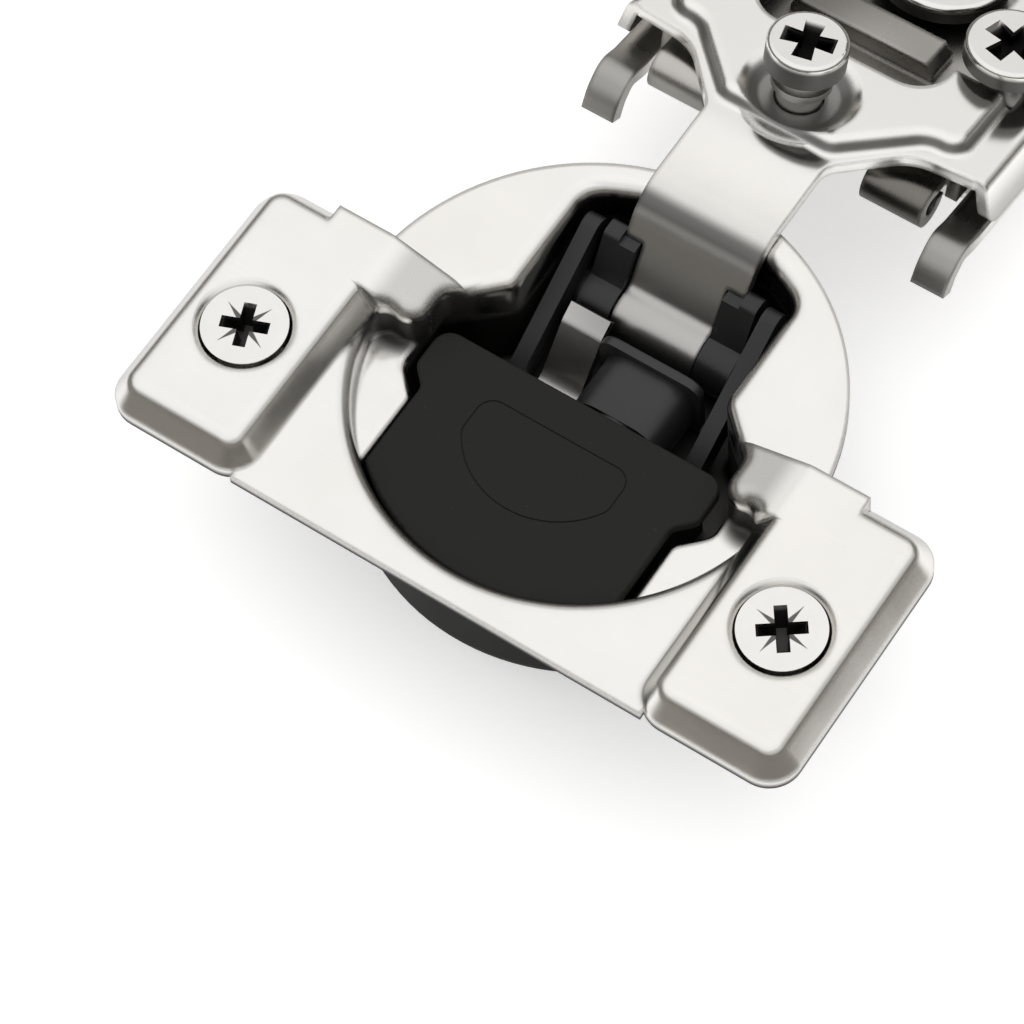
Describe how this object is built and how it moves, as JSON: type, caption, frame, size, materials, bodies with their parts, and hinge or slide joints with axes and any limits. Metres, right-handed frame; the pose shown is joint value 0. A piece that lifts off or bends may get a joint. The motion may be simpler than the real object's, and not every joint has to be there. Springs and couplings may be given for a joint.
{
  "type": "concealed cup hinge",
  "caption": "Concealed cabinet hinge: drawn steel cup with two screw pads, bent arm with adjusting plates and cams, and a soft-close damper under a flat cover.",
  "frame": {"origin": "centre of the cup at the top face of its flange", "axes": "+X along the two screw pads, +Y from the cup towards the arm and its plates, +Z out of the door"},
  "size_m": [0.057, 0.0842, 0.0211],
  "materials": {
    "nickel": "bright nickel plate",
    "cover_black": "matte",
    "black_plastic": "satin",
    "damper_plastic": "satin",
    "spring_steel": "drawn wire"
  },
  "bodies": {
    "cup_side": {"cup": "nickel", "hinge_pin": "nickel", "pin_sleeve_left": "black_plastic", "pin_sleeve_right": "black_plastic", "carrier": "black_plastic", "cover": "cover_black", "left_door_screw": "nickel", "right_door_screw": "nickel", "damper_rod": "nickel", "closing_spring": "spring_steel"},
    "arm": {"hinge_arm": "nickel", "cam_left": "black_plastic", "cam_right": "black_plastic", "tilt_rivet_left": "nickel", "tilt_rivet_right": "nickel"},
    "damper": {"damper_cylinder": "damper_plastic", "damper_gland": "black_plastic"},
    "slider": {"spring_slider": "nickel"},
    "side_adjuster": {"side_screw": "nickel"},
    "slide": {"slide_plate": "nickel"},
    "depth_adjuster": {"depth_cam": "nickel"},
    "depth_slide_plate": {"depth_plate": "nickel"},
    "height_adjuster": {"height_cam": "nickel"},
    "base": {"base_plate": "nickel"}
  },
  "joints": [
    {"name": "door_swing", "type": "hinge", "parent": "cup_side", "child": "arm", "pos_m": [0, 0.0103, -0.0073], "axis": [1, 0, 0], "range_deg": [0, 103]},
    {"name": "damper_stroke", "type": "slide", "parent": "cup_side", "child": "damper", "axis": [0, -1, 0], "range_m": [0, 0.0061]},
    {"name": "slider_stroke", "type": "slide", "parent": "cup_side", "child": "slider", "axis": [0, -1, 0], "range_m": [0, 0.0074], "deforming": ["closing_spring"]},
    {"name": "side_screw_turn", "type": "hinge", "parent": "arm", "child": "side_adjuster", "pos_m": [0, 0.02846, -0.00001], "axis": [0, 0.225, 0.9744], "range_deg": [-360, 360]},
    {"name": "side_tilt", "type": "hinge", "parent": "arm", "child": "slide", "pos_m": [0, 0.05377, -0.00863], "axis": [1, 0, 0], "range_deg": [-1.5, 1.5]},
    {"name": "depth_cam_turn", "type": "hinge", "parent": "slide", "child": "depth_adjuster", "pos_m": [0.0016, 0.04678, -0.00424], "axis": [0, 0.225, 0.9744], "range_deg": [-60, 60]},
    {"name": "depth_slide", "type": "slide", "parent": "slide", "child": "depth_slide_plate", "axis": [0, 0.9744, -0.225], "range_m": [-0.00113, 0.00113]},
    {"name": "height_cam_turn", "type": "hinge", "parent": "depth_slide_plate", "child": "height_adjuster", "pos_m": [0.011, 0.03967, -0.0026], "axis": [0, 0.225, 0.9744], "range_deg": [-60, 60]},
    {"name": "height_slide", "type": "slide", "parent": "depth_slide_plate", "child": "base", "axis": [1, 0, 0], "range_m": [-0.00095, 0.00095]}
  ],
  "couplings": [
    {"joint": "damper_stroke", "follows": "door_swing", "m_per_rad": 0.0033932},
    {"joint": "slider_stroke", "follows": "door_swing", "m_per_rad": 0.0041164},
    {"joint": "side_screw_turn", "follows": "side_tilt", "ratio": 240},
    {"joint": "depth_cam_turn", "follows": "depth_slide", "rad_per_m": 930.14},
    {"joint": "height_cam_turn", "follows": "height_slide", "rad_per_m": -1099.3}
  ]
}
